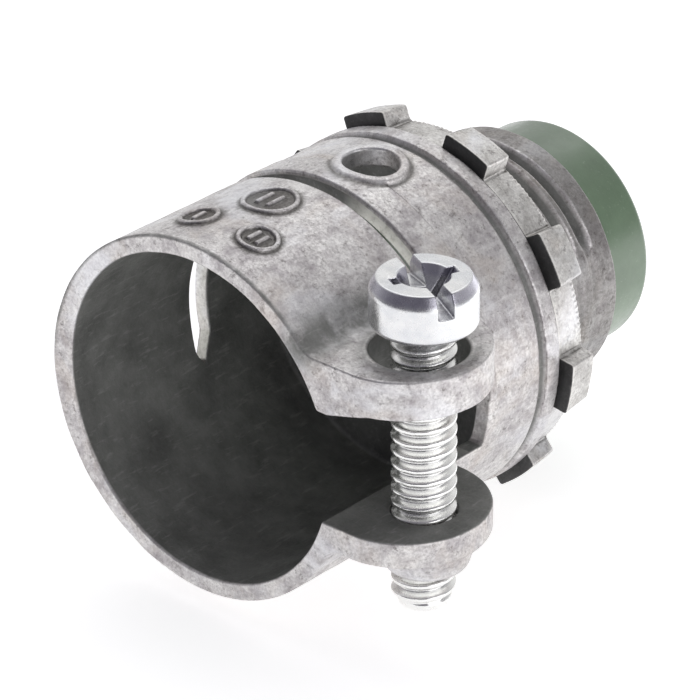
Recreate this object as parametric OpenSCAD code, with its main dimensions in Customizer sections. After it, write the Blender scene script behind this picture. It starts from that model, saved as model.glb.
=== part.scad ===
// Squeeze connector for flexible metal conduit, 1/2 inch trade size, with insulated throat.
// The fitting's axis is Y: the conduit enters at -Y and the threaded nose points to +Y.
// The origin is on that axis, in the plane of the shoulder that seats on the box wall.
// The clamp screw stands along Z, at +X.

/* [Barrel] */
// Outside diameter of the split barrel
barrel_d = 28.7; // [28:0.1:30]
// Bore that takes the conduit, with the clamp open
bore_d = 25.9; // [25:0.1:26.2]
// Length from the mouth to the shoulder
barrel_len = 24.3; // [22:0.1:28]
// Front face of the inner ring that stops the conduit, measured from the shoulder
stop_depth = 2.6; // [1.8:0.1:4]
// Diameter of the shoulder ring that seats on the box wall
flange_d = 29; // [28.8:0.1:31]
// Thickness of the shoulder ring
flange_t = 1.5; // [1:0.1:2.5]
// Width of the groove in front of the shoulder ring
groove_w = 0.5; // [0.3:0.1:0.8]
// Depth of the groove in front of the shoulder ring
groove_depth = 0.4; // [0.2:0.1:0.6]

/* [Clamp] */
// Width of the slot that frees the strap from the rear barrel
slot_w = 1.5; // [1:0.1:2.5]
// Distance from the mouth to the slot
slot_from_mouth = 12.9; // [12.9:0.1:14]
// Angle of the slot's closed end, counted over the top from +X
slot_end_deg = 202; // [190:1:210]
// Height of the lower ear's upper face, against the barrel's axis
gap_bottom = -3.8; // [-5:0.1:-3]
// Height of the strap ear's lower face where it leaves the barrel, against the barrel's axis
gap_top = 5; // [4:0.1:6]
// How far that face has risen under the screw
ear_rise = 1; // [0:0.1:1.5]
// How far the gap between the ears runs on behind the slot
gap_behind_slot = 1.9; // [0.5:0.1:2.5]
// Radius of the round end of the ears
ear_r = 6.4; // [6.2:0.1:6.6]
// Distance from the barrel's axis to the centre of that round end
ear_x = 14.8; // [14.5:0.1:15.5]
// Thickness of the strap's ear where it leaves the barrel
strap_ear_t = 4.2; // [3:0.1:4.6]
// Thickness of the body's ear
body_ear_t = 2.2; // [2:0.1:3.5]
// Diameter of the round boss under the body's ear, at the ear
boss_d = 7.4; // [6.4:0.1:8]
// Diameter of that boss at its end
boss_end_d = 6.2; // [5.6:0.1:7]
// Height of the round boss under the body's ear
boss_h = 2.4; // [1:0.1:3]
// Diameter of the clearance hole in the strap's ear
ear_hole_d = 7.2; // [7.2:0.1:7.4]
// Gap of the model's seam between the strap and the body
seam_gap = 0.06; // [0.03:0.01:0.2]

/* [Clamp screw] */
// Distance from the barrel's axis to the screw's axis
screw_x = 16.6; // [16.4:0.1:16.8]
// Major diameter of the screw, number 10
screw_d = 4.83; // [4.7:0.01:4.9]
// Pitch of the screw, 24 threads per inch
screw_pitch = 1.0583; // [0.9:0.0001:1.1]
// Depth of the screw's thread
screw_thread_h = 0.55; // [0.3:0.01:0.6]
// Height of the underside of the head, with the clamp open
head_z = 11.2; // [11:0.1:12]
// Diameter of the cheese head
head_d = 7.9; // [7.8:0.1:8.2]
// Height of the cheese head
head_h = 3.8; // [3:0.1:4.2]
// Width of the chamfer round the top of the head
head_chamfer = 0.6; // [0.2:0.1:0.9]
// Length of the screw under its head
screw_len = 22.8; // [22:0.1:25.4]
// Width of the slot in the head
drive_w = 1.2; // [1:0.1:1.8]
// Depth of the slot in the head
drive_depth = 1.4; // [1.2:0.1:2.2]
// Angle of the slot in the head, with the clamp open
drive_deg = -25; // [-90:1:90]
// Length of the short arms of the cross recess
cross_l = 5.2; // [4:0.1:5.6]
// Width of the short arms of the cross recess
cross_w = 1; // [0.8:0.1:1.4]

/* [Nose] */
// Major diameter of the nose thread, 1/2 inch straight pipe thread
nose_d = 21.2; // [20.8:0.1:21.3]
// Length of the nose from the shoulder
nose_len = 11.7; // [9:0.1:12]
// Pitch of the nose thread, 14 threads per inch
nose_pitch = 1.8143; // [1.8:0.0001:1.82]
// Depth of the nose thread
nose_thread_h = 0.9; // [0.6:0.05:1.1]
// Distance from the shoulder to the middle of the first open thread groove
nose_first_groove = 4.2; // [3.9:0.1:4.5]
// Number of open thread grooves
nose_grooves = 3; // [2:1:3]
// Bore of the nose
nose_bore_d = 17.7; // [17:0.1:17.8]

/* [Locknut] */
// Thickness of the locknut
nut_t = 3; // [2.6:0.1:3.2]
// Diameter of the locknut between its lugs
nut_d = 28; // [28:0.1:28.8]
// Diameter over the lugs on the box side
lug_d = 31; // [30.6:0.1:32]
// Diameter over the lugs on the other side
lug_back_d = 30.4; // [29.6:0.1:30.6]
// Number of lugs
lug_count = 9; // [8:1:9]
// Angle that one lug covers
lug_deg = 18; // [14:1:20]
// Angle of the first lug, counted from +X
lug_start_deg = 31.5; // [0:0.5:40]

/* [Insulated throat] */
// Bore of the insulated throat
throat_d = 15.8; // [15:0.1:16]
// Outside diameter of the sleeve that sits in the nose
sleeve_d = 17.6; // [16.8:0.1:17.6]
// How far the sleeve reaches back into the nose
sleeve_len = 10; // [6:0.1:10.4]
// Diameter of the lip beyond the nose
lip_d = 18.6; // [18.2:0.1:19]
// Length of the lip beyond the nose
lip_len = 5.5; // [3:0.1:6]
// Radius of the lip's round edge
lip_round = 0.6; // [0.2:0.1:0.6]

/* [Cast details] */
// Distance from the shoulder to the middle of the inspection boss
sight_y = 6; // [5.2:0.1:6]
// Angle of the inspection boss, counted over the top from +X
sight_deg = 86; // [80:1:95]
// Outside diameter of the inspection boss
sight_boss_d = 5.8; // [5:0.1:6]
// Diameter of the inspection hole
sight_hole_d = 4.3; // [3:0.1:4.4]
// Height of the inspection boss above the barrel
sight_boss_h = 0.5; // [0.3:0.1:0.6]
// Height of the raised marks on the strap
mark_h = 0.25; // [0.15:0.05:0.4]
// Width of the rim of the raised marks
mark_rim = 0.4; // [0.3:0.05:0.5]

/* [Hidden] */
$fn = 96;

running = 0.05;   // radial clearance of a part that turns or slides in another
part_gap = 0.03;  // gap between two nodes of one real piece that move apart
eps = 0.01;
far = 40;         // well outside the fitting

barrel_r = barrel_d / 2;
bore_r = bore_d / 2;
mouth_y = -barrel_len;
slot_y = mouth_y + slot_from_mouth;
slot_back_y = slot_y + slot_w;
ear_y = mouth_y + ear_r;
ear_back_y = ear_y + ear_r;
screw_y = ear_y;
screw_r = screw_d / 2;
ear_hole_x = screw_x - 0.5;   // the ear swings outward as it closes
nose_r = nose_d / 2;
nut_bore_r = nose_r + running;
nut_sleeve_r = nut_bore_r + 1.2;
lip_y = nose_len;
seam_deg = slot_end_deg;
seam_half_deg = seam_gap / barrel_r * 90 / PI;

// Each mark: angle over the top, distance from the shoulder, radius
MARKS = [[92, 15.3, 2.2], [102, 20.2, 1.6], [79, 20.1, 1.65]];

zinc = [0.7, 0.68, 0.68];
plated = [0.86, 0.88, 0.92];
green = [0.36, 0.5, 0.4];

// Extrudes a flat shape drawn in (x, z) along Y.
module prism_y(y0, y1) {
    translate([0, y1, 0]) rotate([90, 0, 0]) linear_extrude(y1 - y0) children();
}

// Turns a profile drawn in (radius, y) about the Y axis.
module turned_y(points) {
    rotate([-90, 0, 0]) rotate_extrude() polygon(points);
}

module ring_y(y0, y1, r_in, r_out) {
    turned_y([[r_in, y0], [r_out, y0], [r_out, y1], [r_in, y1]]);
}

module cylinder_y(y0, y1, r) {
    translate([0, y1, 0]) rotate([90, 0, 0]) cylinder(h = y1 - y0, r = r);
}

// Places its children on the barrel: Z outward, at an angle over the top and a distance from the shoulder.
module on_barrel(deg, y) {
    translate([0, -y, 0]) rotate([0, 90 - deg, 0]) children();
}

function polar(r, deg) = [r * cos(deg), r * sin(deg)];

// Flat region over the strap: from the ear gap over the top to the seam.
module strap_region(bottom, end_deg) {
    polygon([[0, 0], [0, bottom], [far, bottom], [far, far], [-far, far], polar(2 * far, end_deg)]);
}

// Plan of one ear, drawn in (x, y).
module ear_plan() {
    translate([ear_x, ear_y]) circle(ear_r);
    translate([0, mouth_y]) square([ear_x, 2 * ear_r]);
}

// Ear from height z0 to z1, trimmed to the bore.
module ear(z0, z1) {
    difference() {
        intersection() {
            translate([0, 0, z0]) linear_extrude(z1 - z0) ear_plan();
            translate([barrel_r / 2, mouth_y - 1, -far]) cube([far, 2 * ear_r + 2, 2 * far]);
        }
        cylinder_y(mouth_y - 1, slot_y + 1, bore_r);
    }
}

// Zigzag down one side of a thread: crest, root, crest, and so on.
function thread_side(r, depth, pitch, start, count) = [
    for (i = [0 : count - 1])
        for (p = [[r, -0.38], [r - depth, -0.1], [r - depth, 0.1], [r, 0.38]])
            [p[0], start + (i + p[1]) * pitch]
];

// Threaded nose, from the shoulder on.
module nose() {
    color(zinc) turned_y(concat(
        [[nose_bore_d / 2, 0], [nose_r, 0]],
        thread_side(nose_r, nose_thread_h, nose_pitch, nose_first_groove, nose_grooves),
        [[nose_r, nose_len], [nose_bore_d / 2, nose_len]]
    ));
}

// Rear barrel, from the slot to the shoulder, with the stop ring and the shoulder ring.
module rear_barrel() {
    groove_y = -flange_t - groove_w;
    turned_y([
        [bore_r, slot_y], [barrel_r, slot_y],
        [barrel_r, groove_y], [barrel_r - groove_depth, groove_y],
        [barrel_r - groove_depth, -flange_t], [flange_d / 2, -flange_t],
        [flange_d / 2, 0], [nose_bore_d / 2, 0],
        [nose_bore_d / 2, -stop_depth], [bore_r, -stop_depth]
    ]);
}

module lower_barrel() {
    difference() {
        ring_y(mouth_y, slot_y + eps, bore_r, barrel_r);
        prism_y(mouth_y - 1, slot_y + 1) strap_region(gap_bottom, seam_deg + seam_half_deg);
    }
}

module inspection_boss() {
    on_barrel(sight_deg, sight_y)
        translate([0, 0, bore_r + 0.4])
            cylinder(h = barrel_r - bore_r - 0.4 + sight_boss_h, d = sight_boss_d);
}

module cast_body() {
    color(zinc) difference() {
        union() {
            lower_barrel();
            rear_barrel();
            inspection_boss();
            ear(gap_bottom - body_ear_t, gap_bottom);
            translate([screw_x, screw_y, gap_bottom - body_ear_t - boss_h])
                cylinder(h = boss_h + eps, d1 = boss_end_d, d2 = boss_d);
        }
        // slot between the strap and the rear barrel
        prism_y(slot_y - eps, slot_back_y) strap_region(gap_bottom, seam_deg);
        // the ear gap, run on behind the slot
        translate([0, slot_y - eps, gap_bottom])
            cube([far, slot_w + gap_behind_slot, gap_top - gap_bottom]);
        on_barrel(sight_deg, sight_y) translate([0, 0, bore_r - 2]) cylinder(h = 6, d = sight_hole_d);
        translate([screw_x, screw_y, gap_bottom - body_ear_t - boss_h - 1])
            cylinder(h = body_ear_t + boss_h + 2, r = screw_r + running);
    }
}

module raised_mark(r) {
    difference() {
        cylinder(h = mark_h + 0.6, r = r);
        translate([0, 0, -1]) cylinder(h = mark_h + 3, r = r - mark_rim);
    }
    cylinder(h = mark_h + 0.6, r = r / 4);
}

module clamp_strap() {
    color(zinc) {
        difference() {
            union() {
                intersection() {
                    ring_y(mouth_y, slot_y, bore_r, barrel_r);
                    prism_y(mouth_y - 1, slot_y + 1) strap_region(gap_top, seam_deg - seam_half_deg);
                }
                difference() {
                    ear(gap_top, gap_top + strap_ear_t);
                    prism_y(mouth_y - 1, slot_y + 1)
                        polygon([[bore_r, gap_top - eps], [far, gap_top - eps], [far, gap_top + ear_rise],
                                 [screw_x, gap_top + ear_rise]]);
                }
                for (m = MARKS)
                    on_barrel(m[0], m[1]) translate([0, 0, barrel_r - 0.6]) raised_mark(m[2]);
            }
            translate([ear_hole_x, screw_y, gap_top - 1]) cylinder(h = strap_ear_t + 2, d = ear_hole_d);
        }
    }
}

// Screw under its head: a ring-grooved thread with a chamfered tip.
module screw_shank() {
    tip = -screw_len;
    root_r = screw_r - screw_thread_h;
    turns = floor((screw_len - 1.6) / screw_pitch);
    side = thread_side(screw_r, screw_thread_h, screw_pitch, tip + 1.2, turns);
    color(plated) translate([screw_x, screw_y, head_z])
        rotate_extrude() polygon(concat(
            [[0, tip], [root_r, tip], [screw_r, tip + screw_thread_h]],
            side,
            [[root_r, -0.4], [root_r, -part_gap], [0, -part_gap]]
        ));
}

module screw_head() {
    r = head_d / 2;
    color(plated) translate([screw_x, screw_y, head_z]) difference() {
        rotate_extrude() polygon([
            [0, 0], [r - 0.4, 0], [r, 0.4], [r, head_h - head_chamfer],
            [r - head_chamfer, head_h], [0, head_h]
        ]);
        rotate([0, 0, drive_deg]) {
            translate([-head_d, -drive_w / 2, head_h - drive_depth]) cube([2 * head_d, drive_w, head_h]);
            translate([-cross_w / 2, -cross_l / 2, head_h - drive_depth]) cube([cross_w, cross_l, head_h]);
        }
    }
}

// Threaded core of the locknut, which travels along the nose.
module locknut_sleeve() {
    color(zinc) ring_y(part_gap, nut_t, nut_bore_r, nut_sleeve_r);
}

// Sector between two radii, drawn in (x, z).
module sector(r_in, r_out, deg) {
    intersection() {
        difference() {
            circle(r_out);
            circle(r_in);
        }
        polygon([[0, 0], polar(far, -deg / 2), polar(far, deg / 2)]);
    }
}

module lugs() {
    intersection() {
        turned_y([
            [nut_d / 2 - 1, part_gap], [lug_d / 2, part_gap],
            [lug_back_d / 2, nut_t], [nut_d / 2 - 1, nut_t]
        ]);
        prism_y(0, nut_t) for (i = [0 : lug_count - 1])
            rotate(lug_start_deg + i * 360 / lug_count) sector(nut_d / 2 - 1, lug_d, lug_deg);
    }
}

// Outer ring of the locknut with its lugs, which turns as it travels.
module locknut_ring() {
    color(zinc) union() {
        ring_y(part_gap, nut_t, nut_sleeve_r + part_gap, nut_d / 2);
        lugs();
    }
}

module insulated_throat() {
    throat_r = throat_d / 2;
    lip_r = lip_d / 2;
    end_y = lip_y + lip_len;
    round_edge = [for (a = [0 : 15 : 90])
        [lip_r - lip_round + lip_round * cos(a), end_y - lip_round + lip_round * sin(a)]];
    color(green) turned_y(concat(
        [[throat_r, lip_y - sleeve_len], [sleeve_d / 2, lip_y - sleeve_len],
         [sleeve_d / 2, lip_y + part_gap], [lip_r, lip_y + part_gap]],
        round_edge,
        [[throat_r + 0.3, end_y], [throat_r, end_y - 0.3]]
    ));
}

cast_body();
nose();
clamp_strap();
screw_shank();
screw_head();
locknut_sleeve();
locknut_ring();
insulated_throat();
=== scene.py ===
"""Looks of a conduit squeeze connector: the casting, the clamp screw, the locknut and the insulated throat.

Each piece is a distance field, negative inside, that is turned into a mesh; all but the strap are placed on
their CAD body.
Lengths in this script are millimetres until a mesh is made. Angles round the fitting's axis, which is Y,
are in degrees, counted from +X over the top.
"""

import math

import bmesh
import bpy
import numpy as np
from mathutils import Matrix, Vector


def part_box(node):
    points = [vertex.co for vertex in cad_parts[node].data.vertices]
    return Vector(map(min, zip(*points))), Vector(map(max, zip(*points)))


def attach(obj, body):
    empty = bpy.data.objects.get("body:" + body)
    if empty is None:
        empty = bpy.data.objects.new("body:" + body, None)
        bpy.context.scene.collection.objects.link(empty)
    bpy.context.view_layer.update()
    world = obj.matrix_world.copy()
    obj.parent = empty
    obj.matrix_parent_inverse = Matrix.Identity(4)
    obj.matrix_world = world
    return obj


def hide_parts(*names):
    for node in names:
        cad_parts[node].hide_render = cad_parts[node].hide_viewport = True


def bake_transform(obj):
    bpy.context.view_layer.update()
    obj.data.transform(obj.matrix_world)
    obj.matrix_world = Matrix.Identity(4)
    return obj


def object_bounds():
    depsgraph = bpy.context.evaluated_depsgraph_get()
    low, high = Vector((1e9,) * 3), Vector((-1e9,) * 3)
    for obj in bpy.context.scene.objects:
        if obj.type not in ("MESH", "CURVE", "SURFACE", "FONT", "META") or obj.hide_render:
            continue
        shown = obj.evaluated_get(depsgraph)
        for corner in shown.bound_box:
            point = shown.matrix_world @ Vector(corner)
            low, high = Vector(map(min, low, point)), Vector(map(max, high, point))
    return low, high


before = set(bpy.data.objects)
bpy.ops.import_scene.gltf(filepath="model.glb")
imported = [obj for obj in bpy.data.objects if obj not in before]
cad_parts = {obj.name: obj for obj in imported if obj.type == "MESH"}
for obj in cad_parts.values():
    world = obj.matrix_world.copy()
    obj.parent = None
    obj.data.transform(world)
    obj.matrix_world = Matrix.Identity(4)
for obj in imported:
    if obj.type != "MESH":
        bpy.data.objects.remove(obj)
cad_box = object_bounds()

MM = 0.001


def box_mm(node):
    """Lowest and highest corner of a CAD node, in millimetres."""
    return [np.array(corner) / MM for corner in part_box(node)]


# ---------------------------------------------------------------- dimensions
body_lo, body_hi = box_mm("cast_body")
nose_lo, nose_hi = box_mm("nose")
strap_lo, strap_hi = box_mm("clamp_strap")
shank_lo, shank_hi = box_mm("screw_shank")
head_lo, head_hi = box_mm("screw_head")
nut_lo, nut_hi = box_mm("locknut_ring")
throat_lo, throat_hi = box_mm("insulated_throat")

# barrel
MOUTH_Y = body_lo[1]
BARREL_R = 14.35
BORE_R = 12.95
STOP_Y = -2.6
FLANGE_R = 14.5
FLANGE_T = 1.5
GROOVE_W = 0.5
GROOVE_DEPTH = 0.4
BULGE = 0.3             # how far the mouth's far side stands out
BULGE_DEG = 185
BULGE_SPREAD_DEG = 42
LIP = 0.16              # how far the rear barrel's front edge stands proud
LIP_END_Y = (-7.35, -7.15)
LIP_END_DEG = (115, 135)
SKIN_WAVES = 0.025

# strap, slot and ears
SLOT_Y0 = strap_hi[1]
SLOT_Y1 = SLOT_Y0 + 1.5
SLOT_TAPER = 0.3
SEAM_DEG = 202
GAP_Y1 = SLOT_Y1 + 1.9
GAP_Z0 = -3.8
GAP_Z1 = 5.0
EAR_RISE = 1.0
EAR_R = 6.4
EAR_X = 14.8
EAR_Y = MOUTH_Y + EAR_R
EAR_ROOT_X = 7.0
EAR_TOP = 9.2
EAR_HOLE_R = 3.6
EAR_FILLET = 0.55
BURNISH_R = 4.1         # where the screw's head has rubbed the ear
BURNISH_DEPTH = 0.1
LOWER_EAR_BOTTOM = -6.0
LOWER_EAR_FILLET = 0.7
BOSS_Z = -8.4
BOSS_END_R = 3.1
BOSS_FLARE = 0.28       # growth of its radius per millimetre of height
GAP_MIDDLE_Z = 2.0      # a height between the two ears' holes

# clamp screw
SCREW_X = (shank_lo[0] + shank_hi[0]) / 2
SCREW_Y = (shank_lo[1] + shank_hi[1]) / 2
SCREW_R = (shank_hi[0] - shank_lo[0]) / 2
SCREW_PITCH = 1.0583
SCREW_DEPTH = 0.5
TIP_Z = shank_lo[2]
HEAD_Z0 = head_lo[2]
HEAD_Z1 = head_hi[2]
HEAD_R = (head_hi[0] - head_lo[0]) / 2
HEAD_TOP_R = 3.42
BEVEL_OUT = 0.95        # the bevel's slope, and that slope's length
BEVEL_UP = 0.55
BEVEL_LENGTH = 1.098
DRIVE_DEG = -25
DRIVE_W = 1.2
DRIVE_DEPTH = 1.35
CROSS_W = 1.0
CROSS_REACH = 2.55
WELL_R = 1.95
WELL_DEPTH = 2.6
EAR_HOLE_X = SCREW_X - 0.5

# nose and locknut
NOSE_R = (nose_hi[0] - nose_lo[0]) / 2
NOSE_END = nose_hi[1]
NOSE_BORE_R = 8.85
NOSE_PITCH = 1.8143
NOSE_DEPTH = 0.9
NOSE_GROOVE_Y = 3.55    # a groove's middle is here, at the angle below
NOSE_GROOVE_DEG = 55
NOSE_BAND_Y = (9.6, 10.3)       # where the thread runs out
NOSE_FLAT_DEG = (22, 34)        # half width of the flats, where they begin and end
NUT_Y0 = nut_lo[1] + 0.35
NUT_Y1 = nut_hi[1] + 0.3
NUT_R = 14.0
NUT_TOOTH = 0.045
NUT_TEETH = 192
NUT_BORE_R = NOSE_R + 0.05
NUT_THREAD_DEPTH = 0.6
LUGS = 9
LUG_START_DEG = 31.5
LUG_R = 15.4
LUG_HALF_W = 2.2

# insulated throat
THROAT_R = 7.9
SLEEVE_R = 8.8
LIP_R = (throat_hi[0] - throat_lo[0]) / 2
LIP_END = throat_hi[1]
LIP_DRAFT = 0.012

# raised details
SIGHT_DEG = 86
SIGHT_Y = -6.0
SIGHT_HOLE_R = 2.15
SIGHT_HOLE_FLOOR = 4    # the hole is cut no nearer to the axis than this
SIGHT_BOSS_R = 2.9
SIGHT_BOSS_H = 0.45
MARK_HEIGHT = 0.28
MARK_STROKE = 0.17
MARKS = [(92, -15.3, 2.2, 2), (102, -20.2, 1.6, 1), (79, -20.1, 1.65, 2)]  # angle, y, radius, bars
PARTING_HEIGHT = 0.07
PARTING_W = 0.22
FILLET_SHADE_X = 10.6         # middle of the painted shade in the fillet by the strap's ear
FILLET_SHADE_Z = 9.9


# ---------------------------------------------------------------- distance fields
def both(a, b, r=0.0):
    """Intersection, with its convex edge rounded to radius r."""
    if not r:
        return np.maximum(a, b)
    return np.minimum(np.maximum(a, b), -r) + np.hypot(np.maximum(a + r, 0), np.maximum(b + r, 0))


def either(a, b, r=0.0):
    """Union, with a fillet of radius r."""
    return -both(-a, -b, r)


def without(a, b, r=0.0):
    """a less b, with the edge rounded to radius r."""
    return both(a, -b, r)


def slab(v, low, high):
    return np.abs(v - (low + high) / 2) - (high - low) / 2


def ramp(v, low, high):
    """0 below low, 1 above high, smooth in between."""
    t = np.clip((v - low) / (high - low), 0, 1)
    return t * t * (3 - 2 * t)


def bell(v, middle, spread):
    """1 at the middle, falling to nothing on both sides of it."""
    return np.exp(-((v - middle) / spread) ** 2)


def angle_of(x, z):
    return np.degrees(np.arctan2(z, x)) % 360


def thread_cut(along, turn, pitch, depth, crest):
    """Depth of a right-hand thread's groove, 0 on the crest. crest is the crest's share of the pitch."""
    phase = np.abs((along / pitch + turn / 360 + 0.5) % 1 - 0.5) * 2
    return depth * (0.5 + 0.5 * np.cos(np.pi * np.clip(phase / (1 - crest), 0, 1)))


def nose_thread(y, turn, depth, crest):
    return thread_cut(y - NOSE_GROOVE_Y, turn - NOSE_GROOVE_DEG, NOSE_PITCH, depth, crest)


def unevenness(x, y, z):
    """Slow waves between -1 and 1, as a die-cast skin has."""
    return (np.sin(0.9 * x + 0.7 * y) * np.sin(0.8 * z - 0.6 * x + 1)
            + np.sin(1.7 * y - 1.1 * z) * np.sin(1.3 * x + 2)) / 2


def ear_plan(x, y):
    """Distance to the ears' outline seen from above: a strip with a round end."""
    return np.hypot(np.maximum(x - EAR_X, 0), y - EAR_Y) - EAR_R


def ears(x, y, z):
    """The strap's ear, and the body's ear with the boss under it."""
    outline = ear_plan(x, y)
    inboard = EAR_ROOT_X - x
    upper = both(both(outline, slab(z, 0, EAR_TOP), 0.25), inboard)
    lower = both(both(outline, slab(z, LOWER_EAR_BOTTOM, -1), 0.25), inboard)
    across = np.hypot(x - SCREW_X - 0.2, y - SCREW_Y)
    boss_r = BOSS_END_R + BOSS_FLARE * (z - BOSS_Z)
    boss = both(across - boss_r, slab(z, BOSS_Z, -5), 0.7)
    return upper, either(lower, boss, 0.3)


def ear_gap(x, y, z):
    """The gap between the ears, whose roof rises towards the screw."""
    roof = GAP_Z1 + EAR_RISE * np.clip((x - BORE_R) / (SCREW_X - BORE_R), 0, 1)
    middle = (roof + GAP_Z0) / 2
    height = np.abs(z - middle) - (roof - GAP_Z0) / 2
    return both(both(height, y - GAP_Y1, 0.3), -x)


def slot_sides(turn):
    """Front and rear wall of the slot, which widens towards its closed end."""
    wide = SLOT_TAPER * ramp(turn, 110, 165)
    return SLOT_Y0 + 0.8 * wide, SLOT_Y1 - SLOT_TAPER + 2.8 * wide


def strap_slot(x, y, z):
    """The slot behind the strap, up to its pointed closed end."""
    seam = math.radians(SEAM_DEG)
    front, back = slot_sides(angle_of(x, z))
    middle = (SLOT_Y0 + SLOT_Y1) / 2
    point = 1.3 * np.abs(y - middle) / (SLOT_Y1 - middle) - 0.15
    beyond_seam = math.cos(seam) * z - math.sin(seam) * x + point
    beyond = np.where(x > 0, GAP_Z0 - z, beyond_seam)
    return both(slab(y, front, back), beyond, 0.15)


def nose_radius(y, turn):
    """Outer radius of the nose: a thread that fades out into the end band and at the flats."""
    cut = nose_thread(y, turn, NOSE_DEPTH, 0.18)
    off_line = np.abs((turn + 90) % 180 - 90)
    fade = (1 - ramp(y, *NOSE_BAND_Y)) * (0.15 + 0.85 * ramp(off_line, *NOSE_FLAT_DEG))
    return NOSE_R - 0.04 - cut * fade


def barrel_skin(y, turn):
    """How far the barrel's outside stands off its plain cylinder."""
    bulge = BULGE * bell(turn, BULGE_DEG, BULGE_SPREAD_DEG) * (1 - ramp(y, MOUTH_Y + 1, MOUTH_Y + 7))
    lip = LIP * ramp(y, SLOT_Y1 - 0.7, SLOT_Y1 - 0.5) * (1 - ramp(y, *LIP_END_Y))
    return bulge + lip * (1 - ramp(turn, *LIP_END_DEG))


def sight_distance(y, turn):
    """Distance along the barrel's skin from the middle of the sight hole."""
    return np.hypot(np.radians(turn - SIGHT_DEG) * BARREL_R, y - SIGHT_Y)


def from_mark(y, turn, deg, mark_y):
    """Place on the barrel's skin, round and along it, counted from the middle of a mark."""
    around = (turn - deg + 180) % 360 - 180
    return np.radians(around) * BARREL_R, y - mark_y


def mark_height(y, turn):
    """Raised rings with a plain bar or two in them, on the strap."""
    height = 0 * (y + turn)
    for deg, mark_y, radius, bars in MARKS:
        u, v = from_mark(y, turn, deg, mark_y)
        ring = np.abs(np.hypot(u, v) - radius + 0.2) - MARK_STROKE
        apart = 0.24 * radius * (bars - 1)
        bar = both(np.abs(np.abs(u) - apart) - MARK_STROKE, np.abs(v) - 0.42 * radius)
        shape = np.minimum(ring, bar)
        height = np.maximum(height, MARK_HEIGHT * (1 - ramp(shape, -0.08, 0.12)))
    return height


def mark_floor(y, turn):
    """1 in and just round the rings, where shade is painted."""
    inside = 0 * (y + turn)
    for deg, mark_y, radius, _ in MARKS:
        from_middle = np.hypot(*from_mark(y, turn, deg, mark_y))
        inside = np.maximum(inside, 1 - ramp(from_middle, radius + 0.1, radius + 0.45))
    return inside


def parting_line(x, y, z):
    """Fine ridge where the die's halves met: along the rear barrel and at the mouth's far side."""
    rear = (x > 0) * ramp(y, GAP_Y1 + 0.3, GAP_Y1 + 0.8) * (1 - ramp(y, -2.3, -2.1))
    mouth = 1.6 * (x < 0) * ramp(y, MOUTH_Y + 0.25, MOUTH_Y + 0.5)
    mouth = mouth * (1 - ramp(y, MOUTH_Y + 0.8, MOUTH_Y + 2.4))
    return PARTING_HEIGHT * (rear + mouth) * bell(z, 0, PARTING_W) * ramp(np.abs(x), 13.6, 14)


def outside(x, y, z, radius, turn):
    """The casting before anything is cut out of it: barrel, ears, shoulder, inspection boss and nose."""
    outer_r = BARREL_R + barrel_skin(y, turn)
    barrel = both(radius - outer_r, slab(y, MOUTH_Y - 3, 0), 0.15)
    upper_ear, lower_ear = ears(x, y, z)
    flange = both(radius - FLANGE_R, slab(y, -FLANGE_T, 0), 0.12)
    boss_span = slab(radius, BORE_R + 0.4, BARREL_R + SIGHT_BOSS_H)
    boss = both(sight_distance(y, turn) - SIGHT_BOSS_R, boss_span, 0.3)
    nose = both((radius - nose_radius(y, turn)) / 1.4, slab(y, STOP_Y, NOSE_END), 0.3)
    solid = either(barrel, upper_ear, EAR_FILLET)
    solid = either(solid, lower_ear, LOWER_EAR_FILLET)
    solid = either(solid, flange, 0.05)
    solid = either(solid, boss, 0.25)
    return either(solid, nose, 0.1)


def openings(x, y, z, radius, turn):
    """Everything that is cut out of the casting, each with the rounding of its edge."""
    bore_r = BORE_R - BULGE * bell(turn, BULGE_DEG, BULGE_SPREAD_DEG) * (1 - ramp(y, MOUTH_Y, MOUTH_Y + 4))
    yield both(radius - bore_r, y - STOP_Y, 0.3), 0.15
    yield radius - NOSE_BORE_R, 0.2
    yield y - MOUTH_Y, 0.2
    yield ear_gap(x, y, z), 0.22
    yield strap_slot(x, y, z), 0.2
    sight = sight_distance(y, turn) - SIGHT_HOLE_R + 0.25 * (radius - BARREL_R)
    yield both(sight, SIGHT_HOLE_FLOOR - radius), 0.3
    tapped_hole = np.hypot(x - SCREW_X, y - SCREW_Y) - SCREW_R - 0.03
    yield both(tapped_hole, z - GAP_MIDDLE_Z), 0.15
    ear_hole = np.hypot(x - EAR_HOLE_X, y - SCREW_Y) - EAR_HOLE_R
    yield both(ear_hole, GAP_MIDDLE_Z - z), 0.3


def casting(x, y, z):
    radius = np.hypot(x, z)
    turn = angle_of(x, z)
    solid = outside(x, y, z, radius, turn)
    for opening, edge_r in openings(x, y, z, radius, turn):
        solid = without(solid, opening, edge_r)
    groove = GROOVE_DEPTH * bell(y + FLANGE_T, -GROOVE_W / 2, 0.6 * GROOVE_W) * ramp(radius, 13.2, 13.8)
    from_hole = np.hypot(x - EAR_HOLE_X, y - SCREW_Y)
    burnish = BURNISH_DEPTH * bell(from_hole, BURNISH_R, 0.35) * ramp(z, 8, 8.5)
    raised = mark_height(y, turn) * ramp(radius, 14, 14.2) * (y < SLOT_Y0 - 0.5)
    raised = raised + parting_line(x, y, z)
    return solid - raised + burnish + groove + SKIN_WAVES * (1 + unevenness(x, y, z))


def foot_shade(x, y, z):
    """How much shade is painted at the foot of the marks and of the inspection boss."""
    radius = np.hypot(x, z)
    turn = angle_of(x, z)
    proud = ramp(mark_height(y, turn), 0.4 * MARK_HEIGHT, 0.9 * MARK_HEIGHT)
    marks = 0.36 * mark_floor(y, turn) * (1 - proud)
    sight_foot = 0.35 * bell(sight_distance(y, turn) - SIGHT_BOSS_R, 0.2, 0.22)
    return (marks + sight_foot) * (radius > BARREL_R - 0.3)


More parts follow.
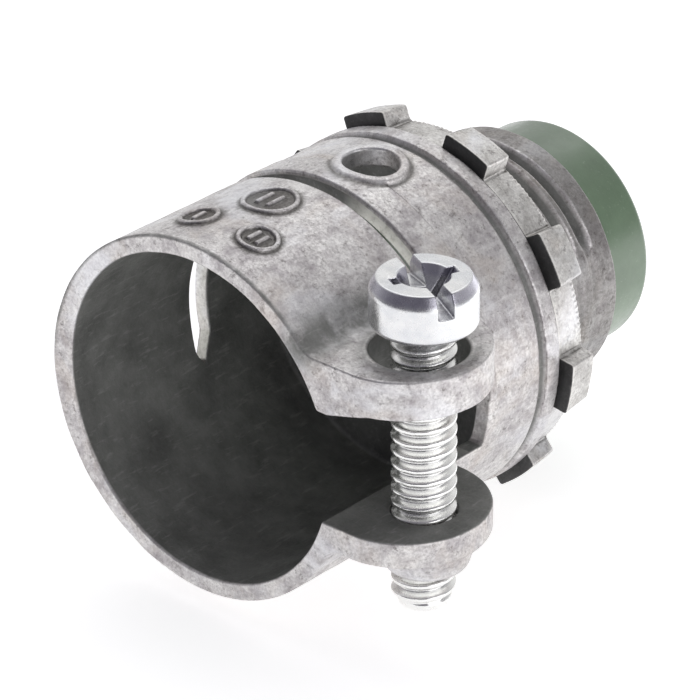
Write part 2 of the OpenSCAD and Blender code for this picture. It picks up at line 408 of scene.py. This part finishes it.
def drive_recess(u, v, z):
    """Straight slot combined with a tapering cross recess."""
    drive = math.radians(DRIVE_DEG)
    along = u * math.cos(drive) + v * math.sin(drive)
    across = -u * math.sin(drive) + v * math.cos(drive)
    depth = HEAD_Z1 - z
    slot = both(np.abs(across) - DRIVE_W / 2, depth - DRIVE_DEPTH - 0.1 * np.abs(along), 0.1)
    arm = both(np.abs(along) - CROSS_W / 2, np.abs(across) - CROSS_REACH + 0.6 * depth, 0.1)
    well = (np.hypot(along, across) - WELL_R + 0.62 * depth) * 0.85
    return both(either(either(slot, arm, 0.05), well, 0.05), depth - WELL_DEPTH, 0.2)


def screw(x, y, z):
    u, v = x - SCREW_X, y - SCREW_Y
    radius = np.hypot(u, v)
    turn = np.degrees(np.arctan2(v, u))
    threaded = ramp(z, TIP_Z + 0.3, TIP_Z + 1.2) * (1 - ramp(z, HEAD_Z0 - 0.9, HEAD_Z0 - 0.5))
    cut = thread_cut(z, -turn, SCREW_PITCH, SCREW_DEPTH, 0.12)
    thread_r = SCREW_R - 0.02 - SCREW_DEPTH + (SCREW_DEPTH - cut) * threaded
    shank = both((radius - thread_r) / 1.3, slab(z, TIP_Z, HEAD_Z0 + 1), 0.35)
    bevel = ((radius - HEAD_TOP_R) * BEVEL_OUT + (z - HEAD_Z1) * BEVEL_UP) / BEVEL_LENGTH
    head = both(radius - HEAD_R, slab(z, HEAD_Z0, HEAD_Z1 + 1), 0.5)
    head = both(both(head, bevel, 0.1), z - HEAD_Z1, 0.08)
    head = without(head, drive_recess(u, v, z), 0.08)
    return either(shank, head, 0.15)


def locknut(x, y, z):
    radius = np.hypot(x, z)
    turn = angle_of(x, z)
    taper = (y - NUT_Y0) / (NUT_Y1 - NUT_Y0)
    at_rear = ramp(y, NUT_Y1 - 0.5, NUT_Y1 - 0.1)
    teeth = NUT_TOOTH * at_rear * np.cos(np.radians(turn) * NUT_TEETH)
    ring_r = NUT_R - 0.06 * (y - NUT_Y0) + teeth
    ring = both(radius - ring_r, slab(y, NUT_Y0, NUT_Y1), 0.1)
    step = 360 / LUGS
    off = (turn - LUG_START_DEG + step / 2) % step - step / 2
    across = np.radians(np.abs(off)) * radius
    lug = both(radius - LUG_R + 0.3 * taper, across - LUG_HALF_W + 0.15 * taper, 0.22)
    lug = both(lug, slab(y, NUT_Y0, NUT_Y1 - 0.05), 0.12)
    bore = (radius - NUT_BORE_R - nose_thread(y, turn, NUT_THREAD_DEPTH, 0.3)) / 1.4
    return without(either(ring, lug, 0.15), bore, 0.15) + 0.02 * (1 + unevenness(x, y, z))


def throat(x, y, z):
    radius = np.hypot(x, z)
    sleeve = both(radius - SLEEVE_R, slab(y, throat_lo[1], NOSE_END + 1), 0.2)
    lip = both(radius - LIP_R + LIP_DRAFT * (y - NOSE_END), slab(y, NOSE_END + 0.03, LIP_END), 0.55)
    return without(either(sleeve, lip, 0.1), radius - THROAT_R, 0.4)


# ---------------------------------------------------------------- from field to mesh
CORNERS = np.array([[i, j, k] for i in (0, 1) for j in (0, 1) for k in (0, 1)])
CELL_EDGES = [(a, b) for a in range(8) for b in range(a + 1, 8) if np.abs(CORNERS[a] - CORNERS[b]).sum() == 1]


def surface_net(field, low, high, step):
    """Points and quads of the surface field = 0: one point in each grid cell that the surface crosses."""
    axes = [np.arange(a - 1.6 * step, b + 2.6 * step, step) for a, b in zip(low, high)]
    value = field(axes[0][:, None, None], axes[1][None, :, None], axes[2][None, None, :]).astype(np.float32)
    inside = value < 0
    count = np.zeros([n - 1 for n in inside.shape], np.int8)
    for i, j, k in CORNERS:
        count += inside[i:inside.shape[0] - 1 + i, j:inside.shape[1] - 1 + j, k:inside.shape[2] - 1 + k]
    cells = np.argwhere((count > 0) & (count < 8))
    index = np.full(count.shape, -1, np.int32)
    index[tuple(cells.T)] = np.arange(len(cells))
    at_corner = np.stack([value[tuple((cells + c).T)] for c in CORNERS], 1)
    total = np.zeros((len(cells), 3))
    hits = np.zeros(len(cells))
    for a, b in CELL_EDGES:
        va, vb = at_corner[:, a], at_corner[:, b]
        crossed = (va < 0) != (vb < 0)
        share = np.where(crossed, va / np.where(crossed, va - vb, 1), 0)
        total += crossed[:, None] * (CORNERS[a] + share[:, None] * (CORNERS[b] - CORNERS[a]))
        hits += crossed
    points = np.array([a[0] for a in axes]) + step * (cells + total / hits[:, None])
    quads = []
    for axis in range(3):
        near, far = np.moveaxis(inside, axis, 0)[:-1], np.moveaxis(inside, axis, 0)[1:]
        found = np.argwhere(near != far)
        leaving = near[tuple(found.T)]
        crossing = np.empty_like(found)
        order = [axis] + [a for a in range(3) if a != axis]
        crossing[:, order] = found
        u, v = np.eye(3, dtype=int)[(axis + 1) % 3], np.eye(3, dtype=int)[(axis + 2) % 3]
        quad = np.stack([index[tuple((crossing - s).T)] for s in (u + v, v, 0 * u, u)], 1)
        quad[~leaving] = quad[~leaving][:, ::-1]
        quads.append(quad)
    return points, np.concatenate(quads)


def gradient(field, points, h=0.01):
    """Slope of the field at each point, from differences over h to both sides."""
    x, y, z = points.T
    return np.stack([
        field(x + h, y, z) - field(x - h, y, z),
        field(x, y + h, z) - field(x, y - h, z),
        field(x, y, z + h) - field(x, y, z - h),
    ], 1) / (2 * h)


def settled(field, points, reach):
    """points moved onto the surface, by two Newton steps of at most reach."""
    for _ in range(2):
        slope = gradient(field, points)
        move = -(field(*points.T) / np.maximum((slope ** 2).sum(1), 0.2))[:, None] * slope
        length = np.linalg.norm(move, axis=1, keepdims=True)
        points = points + move * np.minimum(1, reach / np.maximum(length, 1e-9))
    return points


def new_mesh(name, points, quads):
    mesh = bpy.data.meshes.new(name)
    mesh.vertices.add(len(points))
    mesh.vertices.foreach_set("co", (points * MM).astype(np.float32).ravel())
    mesh.loops.add(quads.size)
    mesh.loops.foreach_set("vertex_index", quads.astype(np.int32).ravel())
    mesh.polygons.add(len(quads))
    mesh.polygons.foreach_set("loop_start", np.arange(0, quads.size, 4, dtype=np.int32))
    mesh.update(calc_edges=True)
    mesh.validate()
    return mesh


def points_of(mesh):
    co = np.empty(len(mesh.vertices) * 3, np.float32)
    mesh.vertices.foreach_get("co", co)
    return co.reshape(-1, 3).astype(float) / MM


def finish_surface(mesh, field):
    """Smooth shading with the field's own normals, and two attributes for the materials: edge, and hollow,
    which measures how closed in each point is and drives painted shade.
    """
    points = points_of(mesh)
    slope = gradient(field, points)
    normal = slope / np.maximum(np.linalg.norm(slope, axis=1, keepdims=True), 1e-6)
    mesh.polygons.foreach_set("use_smooth", np.ones(len(mesh.polygons), bool))
    mesh.normals_split_custom_set_from_vertices(normal)
    reach = 0.35
    # how closed in each point is, which the materials paint as shade
    hollow = np.clip(1 - field(*(points + reach * normal).T) / reach, 0, 1)
    # for the casting, painted shade at the foot of the marks and of the boss joins the hollows' shade
    if field is casting:
        hollow = np.maximum(hollow, foot_shade(*points.T))
    edge = np.clip(1 + field(*(points - reach * normal).T) / reach, 0, 1)
    for name, values in (("hollow", hollow), ("edge", edge)):
        attribute = mesh.attributes.new(name, "FLOAT", "POINT")
        attribute.data.foreach_set("value", values.astype(np.float32))


def thinned(mesh, share):
    """The mesh with this share of its triangles, most of them kept where it curves."""
    holder = bpy.data.objects.new("thin", mesh)
    bpy.context.scene.collection.objects.link(holder)
    modifier = holder.modifiers.new("thin", "DECIMATE")
    modifier.ratio = share
    depsgraph = bpy.context.evaluated_depsgraph_get()
    result = bpy.data.meshes.new_from_object(holder.evaluated_get(depsgraph))
    bpy.data.objects.remove(holder)
    bpy.data.meshes.remove(mesh)
    return result


def sculpt(name, field, low, high, step, share):
    """Mesh of a field, from a grid of this step, with this share of its triangles kept."""
    points, quads = surface_net(field, low, high, step)
    points = settled(field, points, 0.5 * step)
    mesh = new_mesh(name, points, quads)
    return thinned(mesh, share) if share < 1 else mesh


def place(name, mesh, material):
    piece = bpy.data.objects.new(name, mesh)
    bpy.context.scene.collection.objects.link(piece)
    mesh.materials.clear()
    mesh.materials.append(material)
    return piece


def split_at_seam(mesh):
    """Cuts the casting into the body and the strap at the seam, where the real strap bends away from the
    body. Both are closed.
    """
    seam = math.radians(SEAM_DEG)
    across = Vector((math.sin(seam), 0, -math.cos(seam)))
    slot_middle = (SLOT_Y0 + SLOT_Y1) / 2 * MM
    halves = []
    for want_strap in (False, True):
        work = bmesh.new()
        work.from_mesh(mesh)
        near = [f for f in work.faces if f.calc_center_median().y < slot_middle + 2 * MM
                and f.calc_center_median().x < 0]
        geometry = near + list({e for f in near for e in f.edges}) + list({v for f in near for v in f.verts})
        bmesh.ops.bisect_plane(work, geom=geometry, plane_co=(0, 0, 0), plane_no=across, dist=1e-7)
        drop = []
        for face in work.faces:
            middle = face.calc_center_median()
            above = middle.dot(across) > 0 if middle.x < 0 else middle.z > 0.6 * MM
            if (above and middle.y < slot_middle) != want_strap:
                drop.append(face)
        bmesh.ops.delete(work, geom=drop, context="FACES")
        rim = [e for e in work.edges if e.is_boundary]
        bmesh.ops.holes_fill(work, edges=rim, sides=0)
        bmesh.ops.triangulate(work, faces=[f for f in work.faces if len(f.verts) > 4])
        half = bpy.data.meshes.new(mesh.name)
        work.to_mesh(half)
        work.free()
        halves.append(half)
    return halves


# ---------------------------------------------------------------- materials
# colours of the zinc's layers, linear red, green and blue
CLOUD_COLOR = (0.93, 0.92, 0.90)
GRAIN_COLOR = (0.30, 0.28, 0.28)
SPECK_COLOR = (0.16, 0.145, 0.14)
WARM_COLOR = (0.62, 0.54, 0.47)
FLOW_COLOR = (0.92, 0.91, 0.90)
SHEEN_COLOR = (0.90, 0.91, 0.95)
WORN_COLOR = (0.90, 0.88, 0.84)
# painted shade laid in the hollows
HOLLOW_SHADE_COLOR = (0.06, 0.055, 0.045)
# the wall behind the slot, painted pale as lit
LIT_WALL_COLORS = ((1.0, 1.0, 0.92), (0.60, 0.60, 0.52))

# colours of the clamp screw
STEEL_COLORS = ((0.70, 0.71, 0.73), (0.80, 0.80, 0.80))
STEEL_SPECK_COLOR = (0.45, 0.45, 0.46)
THREAD_COLOR = (0.93, 0.93, 0.91)
BEVEL_COLOR = (0.42, 0.40, 0.50)
# painted shade in the head's recess and the thread
RECESS_SHADE_COLOR = (0.16, 0.15, 0.19)

# colours of the throat
GREEN_COLORS = ((0.062, 0.122, 0.056), (0.088, 0.160, 0.080))
GREEN_SPECK_COLOR = (0.25, 0.32, 0.24)
GREEN_EDGE_COLOR = (0.22, 0.32, 0.20)


class Shade:
    """A node material under construction, with short calls for the nodes it uses."""

    def __init__(self, name):
        self.material = bpy.data.materials.new(name)
        self.material.use_nodes = True
        self.tree = self.material.node_tree
        self.shader = self.tree.nodes["Principled BSDF"]
        self.place = self.node("ShaderNodeTexCoord").outputs["Object"]

    def node(self, kind, **values):
        made = self.tree.nodes.new(kind)
        for key, value in values.items():
            setattr(made, key, value)
        return made

    def feed(self, socket, value):
        if isinstance(value, bpy.types.NodeSocket):
            self.tree.links.new(value, socket)
        else:
            socket.default_value = value

    def noise(self, scale, detail, roughness, stretch=None, distortion=0.0):
        """Noise with this many waves to the metre. stretch multiplies them, axis by axis."""
        place = self.place
        if stretch:
            mapping = self.node("ShaderNodeMapping")
            self.feed(mapping.inputs["Vector"], place)
            mapping.inputs["Scale"].default_value = stretch
            place = mapping.outputs[0]
        made = self.node("ShaderNodeTexNoise")
        self.feed(made.inputs["Vector"], place)
        settings = {"Scale": scale, "Detail": detail, "Roughness": roughness, "Distortion": distortion}
        for key, value in settings.items():
            made.inputs[key].default_value = value
        return made.outputs["Fac"]

    def span(self, value, low, high, to_low=0.0, to_high=1.0):
        """value moved from the range low..high to the range to_low..to_high, and held at its ends."""
        made = self.node("ShaderNodeMapRange")
        for socket, v in zip(made.inputs, (value, low, high, to_low, to_high)):
            self.feed(socket, v)
        return made.outputs[0]

    def span_mm(self, value, low, high, to_low=0.0, to_high=1.0):
        """span of a length, with low and high in millimetres."""
        return self.span(value, low * MM, high * MM, to_low, to_high)

    def math(self, operation, a, b=0.0):
        made = self.node("ShaderNodeMath", operation=operation)
        self.feed(made.inputs[0], a)
        self.feed(made.inputs[1], b)
        return made.outputs[0]

    def length(self, a, b):
        squares = [self.math("MULTIPLY", v, v) for v in (a, b)]
        return self.math("SQRT", self.math("ADD", *squares))

    def all_of(self, first, *rest):
        for value in rest:
            first = self.math("MULTIPLY", first, value)
        return first

    def any_of(self, first, *rest):
        for value in rest:
            first = self.math("MAXIMUM", first, value)
        return first

    def mix(self, share, a, b):
        made = self.node("ShaderNodeMix", data_type="RGBA")
        self.feed(made.inputs["Factor"], share)
        for socket, v in ((made.inputs[6], a), (made.inputs[7], b)):
            self.feed(socket, v if isinstance(v, bpy.types.NodeSocket) else (*v, 1.0))
        return made.outputs[2]

    def layer(self, color, mask, strength, over):
        """color, with over laid on it at this strength where mask is 1."""
        return self.mix(self.math("MULTIPLY", mask, strength), color, over)

    def attribute(self, name):
        return self.node("ShaderNodeAttribute", attribute_name=name).outputs["Fac"]

    def axes(self):
        split = self.node("ShaderNodeSeparateXYZ")
        self.feed(split.inputs[0], self.place)
        return split.outputs

    def bump(self, height, strength, distance, under=None):
        made = self.node("ShaderNodeBump")
        made.inputs["Strength"].default_value = strength
        made.inputs["Distance"].default_value = distance
        self.feed(made.inputs["Height"], height)
        if under:
            self.feed(made.inputs["Normal"], under)
        return made.outputs[0]

    def surface(self, **sockets):
        for name, value in sockets.items():
            socket = self.shader.inputs[name.replace("_", " ")]
            if isinstance(value, tuple) and len(value) == 3:
                value = (*value, 1.0)
            self.feed(socket, value)
        return self.material


def zinc_skin(s, light, dark, grain):
    """Colour of clean cast zinc, mottled at several scales, with painted shade in its hollows."""
    broad = s.span(s.noise(95, 4, 0.6, distortion=0.7), 0.42, 0.6)
    patches = s.span(s.noise(330, 6, 0.66, distortion=0.8), 0.38, 0.6)
    cloud = s.span(s.noise(1000, 4, 0.65), 0.34, 0.6)
    specks = s.span(s.noise(1700, 5, 0.8), 0.56, 0.64)
    tint = s.span(s.noise(170, 3, 0.6, distortion=1.0), 0.5, 0.68)
    flow = s.span(s.noise(1100, 4, 0.6, stretch=(1, 0.18, 1)), 0.52, 0.66)
    sheen = s.span(s.noise(150, 4, 0.62, stretch=(1, 0.5, 1), distortion=0.6), 0.52, 0.66)
    color = s.layer(light, patches, 0.85, dark)
    color = s.layer(color, broad, 0.5, dark)
    color = s.layer(color, cloud, 0.5, CLOUD_COLOR)
    color = s.layer(color, grain, 0.5, GRAIN_COLOR)
    color = s.layer(color, specks, 0.7, SPECK_COLOR)
    color = s.layer(color, tint, 0.3, WARM_COLOR)
    color = s.layer(color, flow, 0.28, FLOW_COLOR)
    color = s.layer(color, sheen, 0.5, SHEEN_COLOR)
    color = s.layer(color, s.span(s.attribute("edge"), 0.3, 0.75), 0.5, WORN_COLOR)
    # painted shade where the hollow attribute finds the skin closed in
    return s.layer(color, s.span(s.attribute("hollow"), 0.06, 0.42), 0.9, HOLLOW_SHADE_COLOR)


def darkening_wash(s, darkening_color):
    """Colour of the painted shade and of the mouth's darker edge line: a wash between a darker and a lighter
    tone, with pale scratches.
    """
    wash = s.span(s.noise(300, 6, 0.7), 0.3, 0.7)
    scratch = s.span(s.noise(2600, 3, 0.6, stretch=(1, 0.2, 1)), 0.58, 0.7)
    low, high, pale = (tuple(min(1, v * k) for v in darkening_color) for k in (0.7, 1.5, 3.2))
    return s.layer(s.mix(wash, low, high), scratch, 0.22, pale)


def cast_zinc(name, light, dark, darkened_and_lit, darkening_color):
    """Die-cast zinc with a grainy skin. Its fourth argument takes the Shade and returns two shares: of
    painted shade with the mouth's darker edge line, and of painted light.
    """
    s = Shade(name)
    grain = s.span(s.noise(4200, 3, 0.75), 0.36, 0.64)
    darkening, painted_lit = darkened_and_lit(s)
    # painted light: where this share is 1 the skin turns pale and hardly metallic
    lit_wall_color = s.mix(s.span(s.noise(1100, 5, 0.75), 0.46, 0.66), *LIT_WALL_COLORS)
    color = s.mix(painted_lit, zinc_skin(s, light, dark, grain), lit_wall_color)
    # the painted shade, with the mouth's darker edge line
    color = s.mix(darkening, color, darkening_wash(s, darkening_color))
    rough = s.math("ADD", s.span(grain, 0, 1, 0.34, 0.58), s.math("MULTIPLY", darkening, 0.12))
    metal = s.math("MULTIPLY", s.span(darkening, 0, 1, 0.88, 0.25), s.span(painted_lit, 0, 1, 1, 0.2))
    normal = s.bump(s.noise(2600, 4, 0.7), 0.6, 0.05 * MM)
    normal = s.bump(s.noise(420, 5, 0.62), 0.6, 0.2 * MM, normal)
    return s.surface(Base_Color=color, Roughness=rough, Metallic=metal, Normal=normal)


def recess_shade(s, x, y, z, across, from_hole):
    """Painted shade: the bore, the lower ear, the upper ear's hole, the groove and the nose thread's roots.
    """
    bore = s.all_of(s.span_mm(across, BORE_R + 0.2, BORE_R + 0.05),
                    s.span_mm(y, MOUTH_Y + 0.1, MOUTH_Y + 0.3),
                    s.span_mm(y, STOP_Y + 0.2, STOP_Y + 0.1))
    lower_ear = s.all_of(s.span_mm(x, 11.5, 12.5),
                         s.span_mm(z, GAP_Z0 - 0.15, GAP_Z0 - 0.06),
                         s.span_mm(z, GAP_Z0 + 0.3, GAP_Z0 + 0.2),
                         s.span_mm(y, GAP_Y1, GAP_Y1 - 0.3))
    hole = s.all_of(s.span_mm(from_hole, EAR_HOLE_R + 0.35, EAR_HOLE_R + 0.1),
                    s.span_mm(z, EAR_TOP, EAR_TOP - 0.3),
                    s.span_mm(z, GAP_MIDDLE_Z, GAP_MIDDLE_Z + 1))
    from_groove = s.math("ABSOLUTE", s.math("ADD", y, (FLANGE_T + GROOVE_W / 2) * MM))
    groove = s.all_of(s.span_mm(from_groove, 0.34, 0.2, 0, 0.85), s.span_mm(across, 13.5, 13.6))
    roots = s.all_of(s.span_mm(across, 10.42, 10.15, 0, 0.9), s.span_mm(y, 0.2, 0.4))
    return s.any_of(bore, lower_ear, hole, groove, roots)


def shade_and_rim_line(s, x, y, z, across, from_hole):
    """Painted shade where the strap runs into its ear, a darker line along the mouth's edge, and painted
    shadow of the screw's head round the ear's hole.
    """
    # painted shade in the fillet where the strap runs into its ear
    from_fillet_shade = s.length(s.math("SUBTRACT", x, FILLET_SHADE_X * MM), s.math("SUBTRACT", z, FILLET_SHADE_Z * MM))
    fillet_shade = s.all_of(s.span_mm(from_fillet_shade, 2.6, 0.6),
                      s.span(s.noise(420, 4, 0.6), 0.36, 0.58, 0.3, 0.95),
                      s.span_mm(y, EAR_Y + EAR_R, EAR_Y + EAR_R - 1.5))
    # a darker line along the mouth's edge
    rim = s.all_of(s.span_mm(y, MOUTH_Y + 0.42, MOUTH_Y + 0.2),
                   s.span_mm(across, BARREL_R - 0.25, BARREL_R),
                   s.span_mm(z, 0, 4),
                   s.span_mm(x, 11.2, 10.6),
                   s.span(s.noise(700, 4, 0.7), 0.36, 0.56, 0.45, 0.95))
    # painted shadow of the screw's head on the ear's top
    ear = s.all_of(s.span_mm(from_hole, 5.8, 4.0),
                   s.span_mm(z, 8.85, 9.05),
                   s.span(s.noise(500, 5, 0.7), 0.4, 0.62, 0.1, 0.6))
    return s.any_of(fillet_shade, rim, ear)


def body_shade_and_light(s):
    """Painted shade of the casting with a darker line along the mouth's edge, and the wall behind the slot
    painted pale as lit, with painted shadow on its top.
    """
    x, y, z = s.axes()
    across = s.length(x, z)
    from_hole = s.length(s.math("SUBTRACT", x, EAR_HOLE_X * MM), s.math("SUBTRACT", y, SCREW_Y * MM))
    from_slot = s.math("ABSOLUTE", s.math("SUBTRACT", y, SLOT_Y1 * MM))
    # the wall behind the slot, painted pale as lit
    lit_slot_wall = s.all_of(s.span_mm(from_slot, 0.6, 0.5),
                         s.span_mm(across, BORE_R + 0.05, BORE_R + 0.15),
                         s.span_mm(across, BARREL_R - 0.2, BARREL_R - 0.3),
                         s.span_mm(z, -5.6, -5.4))
    # painted shadow on the top of that wall
    shaded_wall = s.all_of(lit_slot_wall, s.span_mm(x, 4.5, 2), s.span_mm(x, -9, -7))
    # painted shade in the bore, on the lower ear, in the ear's hole, the groove and the thread's roots
    recesses = recess_shade(s, x, y, z, across, from_hole)
    return s.any_of(recesses, shade_and_rim_line(s, x, y, z, across, from_hole), shaded_wall), lit_slot_wall


def nut_front_shade(s):
    """Painted shade on the front faces beside the flange, which bear on the box wall."""
    y = s.axes()[1]
    return s.span_mm(y, NUT_Y0 + 0.12, NUT_Y0 + 0.05), 0.0


def plated_steel():
    """Bright plated steel: paler on the thread and bluish on the head's bevel, with painted shade in its
    recess and, fainter, on the thread.
    """
    s = Shade("plated_steel")
    z = s.axes()[2]
    thread = s.span_mm(z, HEAD_Z0, HEAD_Z0 - 0.3)
    bevel = s.all_of(s.span_mm(z, HEAD_Z1 - 0.85, HEAD_Z1 - 0.6), s.span_mm(z, HEAD_Z1, HEAD_Z1 - 0.12))
    hollow = s.math("MULTIPLY", s.span(s.attribute("hollow"), 0.2, 0.75), s.span(thread, 0, 1, 0.8, 0.4))
    color = s.mix(s.span(s.noise(500, 4, 0.6), 0.4, 0.62), *STEEL_COLORS)
    color = s.layer(color, s.span(s.noise(3500, 4, 0.75), 0.6, 0.72), 0.35, STEEL_SPECK_COLOR)
    color = s.mix(thread, color, THREAD_COLOR)
    color = s.layer(color, bevel, 0.6, BEVEL_COLOR)
    # painted shade in the hollows
    color = s.mix(hollow, color, RECESS_SHADE_COLOR)
    rough = s.span(s.noise(1200, 3, 0.7), 0.3, 0.7, 0.18, 0.34)
    normal = s.bump(s.noise(2200, 4, 0.7), 0.3, 0.03 * MM)
    return s.surface(Base_Color=color, Roughness=rough, Metallic=1.0, Normal=normal)


def green_plastic():
    """Moulded green plastic, worn paler along its edges."""
    s = Shade("green_plastic")
    color = s.mix(s.span(s.noise(260, 5, 0.65), 0.35, 0.65), *GREEN_COLORS)
    color = s.layer(color, s.span(s.noise(2600, 3, 0.75), 0.62, 0.72), 0.4, GREEN_SPECK_COLOR)
    color = s.layer(color, s.span(s.attribute("edge"), 0.3, 0.8), 0.4, GREEN_EDGE_COLOR)
    rough = s.span(s.noise(900, 3, 0.7), 0.3, 0.7, 0.28, 0.42)
    normal = s.bump(s.noise(1400, 5, 0.7), 0.35, 0.05 * MM)
    return s.surface(Base_Color=color, Roughness=rough, Normal=normal,
                     Specular_IOR_Level=1.0, Coat_Weight=0.55, Coat_Roughness=0.22)


# the last colour of each is that of its painted shade
body_zinc = cast_zinc("cast_zinc", light=(0.78, 0.76, 0.75), dark=(0.36, 0.33, 0.35),
                      darkened_and_lit=body_shade_and_light, darkening_color=(0.175, 0.177, 0.168))
# near-black painted shade on the nut's front faces
nut_zinc = cast_zinc("nut_zinc", light=(0.76, 0.75, 0.72), dark=(0.42, 0.41, 0.39),
                     darkened_and_lit=nut_front_shade, darkening_color=(0.05, 0.05, 0.05))

# ---------------------------------------------------------------- pieces
casting_low = np.minimum(body_lo, strap_lo) - 0.2
casting_high = np.maximum.reduce([body_hi, strap_hi, nose_hi]) + 0.2
whole = sculpt("casting", casting, casting_low, casting_high, step=0.16, share=0.3)
body_mesh, strap_mesh = split_at_seam(whole)
for part_mesh in (body_mesh, strap_mesh):
    finish_surface(part_mesh, casting)

body_piece = place("casting_body", body_mesh, body_zinc)
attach(body_piece, "root")
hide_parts("cast_body", "nose")

strap_piece = place("casting_strap", strap_mesh, body_zinc)
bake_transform(strap_piece)
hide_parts("clamp_strap")

screw_low = np.minimum(shank_lo, head_lo)
screw_mesh = sculpt("clamp_screw", screw, screw_low, head_hi, step=0.09, share=0.6)
finish_surface(screw_mesh, screw)
screw_piece = place("clamp_screw", screw_mesh, plated_steel())
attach(screw_piece, "screw")
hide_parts("screw_shank", "screw_head")

nut_mesh = sculpt("locknut", locknut, nut_lo, nut_hi, step=0.13, share=0.5)
finish_surface(nut_mesh, locknut)
nut_piece = place("locknut", nut_mesh, nut_zinc)
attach(nut_piece, "locknut")
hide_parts("locknut_sleeve", "locknut_ring")

throat_mesh = sculpt("throat", throat, throat_lo, throat_hi, step=0.2, share=1)
finish_surface(throat_mesh, throat)
throat_piece = place("insulated_throat_liner", throat_mesh, green_plastic())
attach(throat_piece, "root")
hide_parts("insulated_throat")

# ---------------------------------------------------------------- stage, light and camera
FLOOR_HALF = 1.5                        # half its side, in metres
FLOOR_COLOR = (0.93, 0.93, 0.93)
BRIGHT_SIDE = (-0.45, 0.85, 0)
WORLD_COLORS = ((0.17, 0.165, 0.19), (0.84, 0.84, 0.84))    # darkest and brightest
CAMERA_ANGLES = (42.14, 27.94, -0.44)   # azimuth, elevation and roll, in degrees
CAMERA_AIM = (0, 1.7, 0)
CAMERA_SHIFT = (6.04, 4.05)             # of the aim, to the left and down in the picture
CAMERA_DISTANCE = 345.1
CAMERA_LENS = 231.4


def direction(azimuth, elevation):
    """Unit vector from the part. Angles in radians, azimuth anticlockwise from the front, seen from above."""
    across = math.cos(elevation)
    return Vector((math.sin(azimuth) * across, -math.cos(azimuth) * across, math.sin(elevation)))


def area_light(name, azimuth, elevation, distance, size, power):
    """Square soft light, aimed at the part. Angles in degrees, as in direction, and lengths in metres."""
    towards = direction(math.radians(azimuth), math.radians(elevation))
    light = bpy.data.lights.new(name, "AREA")
    light.size = size
    light.energy = power
    holder = bpy.data.objects.new(name, light)
    holder.location = towards * distance
    holder.rotation_euler = towards.to_track_quat("Z", "Y").to_euler()
    bpy.context.scene.collection.objects.link(holder)


def make_floor(height):
    """Pale floor with a light of its own, which grows towards the part's right and rear."""
    work = bmesh.new()
    bmesh.ops.create_grid(work, x_segments=8, y_segments=8, size=FLOOR_HALF)
    bmesh.ops.translate(work, verts=work.verts, vec=(0, 0, height))
    mesh = bpy.data.meshes.new("floor")
    work.to_mesh(mesh)
    work.free()
    s = Shade("pale_floor")
    x, y, _ = s.axes()
    towards_rear_right = s.math("ADD", s.math("MULTIPLY", x, 0.74), s.math("MULTIPLY", y, 0.67))
    glow = s.span_mm(towards_rear_right, 15, 70, 0.56, 0.95)
    s.surface(Base_Color=FLOOR_COLOR, Roughness=0.9, Emission_Color=(1.0, 1.0, 1.0), Emission_Strength=glow)
    floor = place("floor", mesh, s.material)


def make_world():
    """Soft studio surroundings, brighter behind the part than in front of it."""
    world = bpy.data.worlds.new("studio")
    world.use_nodes = True
    tree = world.node_tree
    around = tree.nodes.new("ShaderNodeTexCoord")
    turned = tree.nodes.new("ShaderNodeVectorMath")
    turned.operation = "DOT_PRODUCT"
    turned.inputs[1].default_value = Vector(BRIGHT_SIDE).normalized()
    tree.links.new(around.outputs["Generated"], turned.inputs[0])
    spread = tree.nodes.new("ShaderNodeMapRange")
    spread.inputs["From Min"].default_value = -0.45
    spread.inputs["From Max"].default_value = 0.9
    tree.links.new(turned.outputs["Value"], spread.inputs["Value"])
    brightness = tree.nodes.new("ShaderNodeValToRGB")
    for element, color in zip(brightness.color_ramp.elements, WORLD_COLORS):
        element.color = (*color, 1)
    tree.links.new(spread.outputs[0], brightness.inputs[0])
    background = tree.nodes["Background"]
    tree.links.new(brightness.outputs[0], background.inputs["Color"])
    background.inputs["Strength"].default_value = 1.0
    bpy.context.scene.world = world


def make_camera():
    """Long lens in front of the mouth, above and to the clamp's side."""
    azimuth, elevation, roll = map(math.radians, CAMERA_ANGLES)
    back = direction(azimuth, elevation)
    right = Vector((0, 0, 1)).cross(back).normalized()
    up = back.cross(right)
    right, up = math.cos(roll) * right + math.sin(roll) * up, math.cos(roll) * up - math.sin(roll) * right
    aim = Vector(CAMERA_AIM) - CAMERA_SHIFT[0] * right - CAMERA_SHIFT[1] * up
    position = Matrix.Translation((aim + CAMERA_DISTANCE * back) * MM)
    data = bpy.data.cameras.new("camera")
    data.sensor_width = 36
    data.lens = CAMERA_LENS
    data.clip_start = 0.01
    camera = bpy.data.objects.new("camera", data)
    camera.matrix_world = position @ Matrix((right, up, back)).transposed().to_4x4()
    bpy.context.scene.collection.objects.link(camera)
    bpy.context.scene.camera = camera


make_floor(cad_box[0].z - 0.1 * MM)
make_world()
area_light("top", azimuth=230, elevation=66, distance=0.9, size=1.0, power=2.2)
area_light("side", azimuth=80, elevation=10, distance=0.8, size=0.7, power=2.6)
make_camera()
bpy.context.scene.view_settings.view_transform = "Standard"
